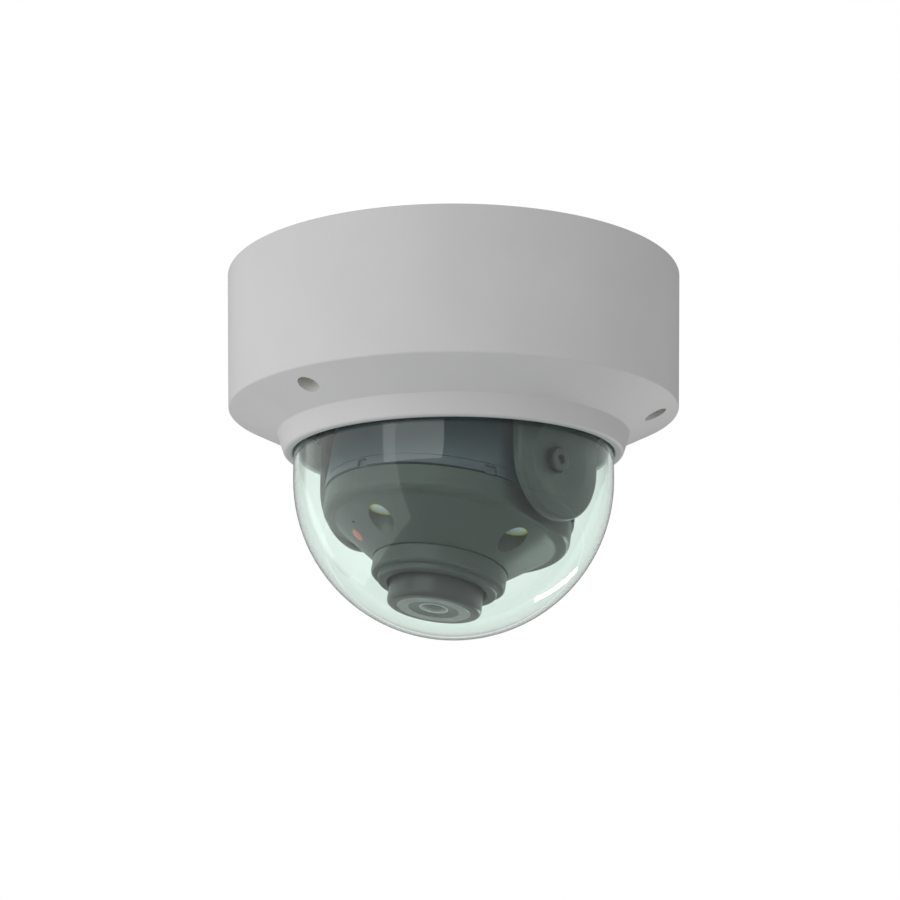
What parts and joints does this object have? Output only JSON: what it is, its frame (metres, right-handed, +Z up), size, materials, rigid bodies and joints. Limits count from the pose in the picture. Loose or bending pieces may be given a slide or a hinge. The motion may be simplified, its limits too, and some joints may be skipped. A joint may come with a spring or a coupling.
{
  "type": "dome camera",
  "caption": "Round ceiling camera: cast base, removable cover with a clear bubble, and a lens module in a yoke that pans, tilts and rolls.",
  "frame": {"origin": "centre of the ceiling face at the back of the base", "axes": "+Z up into the ceiling, -Y the side the lens leans towards, X along the tilt axis"},
  "size_m": [0.1734, 0.1734, 0.139],
  "materials": {
    "acetal": "natural acetal",
    "aluminium_can": "drawn aluminium",
    "barrel_black": "black satin barrel",
    "black_rubber": "matte black seal rubber",
    "board_black": "black moulded component",
    "board_green": "green solder mask",
    "bronze": "sintered bronze",
    "cast_base": "light grey powder coat, fine texture",
    "clear_dome": "clear polycarbonate bubble with a faint mint tint",
    "coated_glass": "dark coated lens glass",
    "connector_white": "natural nylon",
    "cover_paint": "off-white satin powder coat",
    "dark_steel": "black oxide steel",
    "filter_glass": "infrared cut filter glass",
    "foam": "closed-cell foam",
    "front_plastic": "green-grey satin moulding",
    "lamp_white": "frosted white lens",
    "lamp_yellow": "yellow silicone edge",
    "rear_paint": "blue-grey satin finish",
    "ring_green": "green-grey satin cone",
    "ring_pale": "light grey satin ring",
    "ring_white": "white trim",
    "status_red": "translucent red window",
    "steel": "bright zinc-plated steel",
    "terminal_green": "green terminal block",
    "yellow_zinc": "yellow passivated steel",
    "yoke_plastic": "dark green-grey satin moulding"
  },
  "bodies": {
    "base": {"base_casting": "cast_base", "ceiling_gasket": "foam", "cable_grommet": "black_rubber", "chassis_ring": "board_black", "chassis_screws": "steel", "pan_friction_ring": "acetal", "main_board": "board_green", "board_screws": "steel", "network_jack": "steel", "power_terminal": "terminal_green", "card_slot": "steel", "processor": "board_black", "capacitors": "aluminium_can", "module_connector": "connector_white", "reset_switch": "steel"},
    "button": {"reset_button": "board_black"},
    "cover": {"cover": "cover_paint", "cover_gasket": "black_rubber", "cover_screws": "yellow_zinc", "screw_retainers": "black_rubber", "dome": "clear_dome", "dome_gasket": "black_rubber", "dome_retaining_ring": "steel", "retaining_screws": "steel"},
    "yoke": {"yoke": "yoke_plastic", "pan_retainer": "acetal", "retainer_screws": "steel", "pivot_bushes": "bronze"},
    "module": {"pivot_screws": "dark_steel", "pivot_washers": "acetal", "rear_shell": "rear_paint", "front_shell": "front_plastic", "shell_screws": "steel", "lamp_board": "board_green", "lamp_emitters": "lamp_yellow", "lamp_windows": "lamp_white", "lamp_seals": "lamp_yellow", "status_window": "status_red", "microphone": "aluminium_can"},
    "lens_carrier": {"lens_collar": "front_plastic", "collar_clip": "steel", "lens_holder": "board_black", "sensor_board": "board_green", "sensor_connector": "connector_white", "image_sensor": "board_black", "filter_motor": "aluminium_can"},
    "filter": {"filter_frame": "board_black", "filter_glasses": "filter_glass"},
    "focus": {"focus_ring": "barrel_black"},
    "cell": {"lens_cell": "dark_steel", "front_ring": "ring_pale", "cone_ring": "ring_green", "lens_trim_ring": "ring_white", "front_lens": "coated_glass", "rear_lens": "coated_glass", "lens_spacer": "board_black"}
  },
  "joints": [
    {"name": "pan", "type": "hinge", "parent": "base", "child": "yoke", "pos_m": [0, 0, -0.0787], "axis": [0, 0, 1], "range_deg": [-175, 175]},
    {"name": "tilt", "type": "hinge", "parent": "yoke", "child": "module", "pos_m": [0, 0, -0.0787], "axis": [1, 0, 0], "range_deg": [-67.6, 12.4]},
    {"name": "roll", "type": "hinge", "parent": "module", "child": "lens_carrier", "pos_m": [0, 0, -0.0787], "axis": [0, -0.2147, -0.9767], "range_deg": [-90, 90]},
    {"name": "focus_turn", "type": "hinge", "parent": "lens_carrier", "child": "focus", "pos_m": [0, 0, -0.0787], "axis": [0, -0.2147, -0.9767], "range_deg": [0, 90.5]},
    {"name": "focus_travel", "type": "slide", "parent": "lens_carrier", "child": "cell", "axis": [0, -0.2147, -0.9767], "range_m": [0, 0.0012]},
    {"name": "filter_shift", "type": "slide", "parent": "lens_carrier", "child": "filter", "axis": [-1, 0, 0], "range_m": [0, 0.007]},
    {"name": "reset_press", "type": "slide", "parent": "base", "child": "button", "axis": [0, 0, 1], "range_m": [0, 0.0005], "stiffness_N_per_m": 400},
    {"name": "cover_removal", "type": "slide", "parent": "base", "child": "cover", "axis": [0, 0, -1], "range_m": [0, 0.1]}
  ],
  "couplings": [
    {"joint": "focus_turn", "follows": "focus_travel", "rad_per_m": 1309}
  ]
}
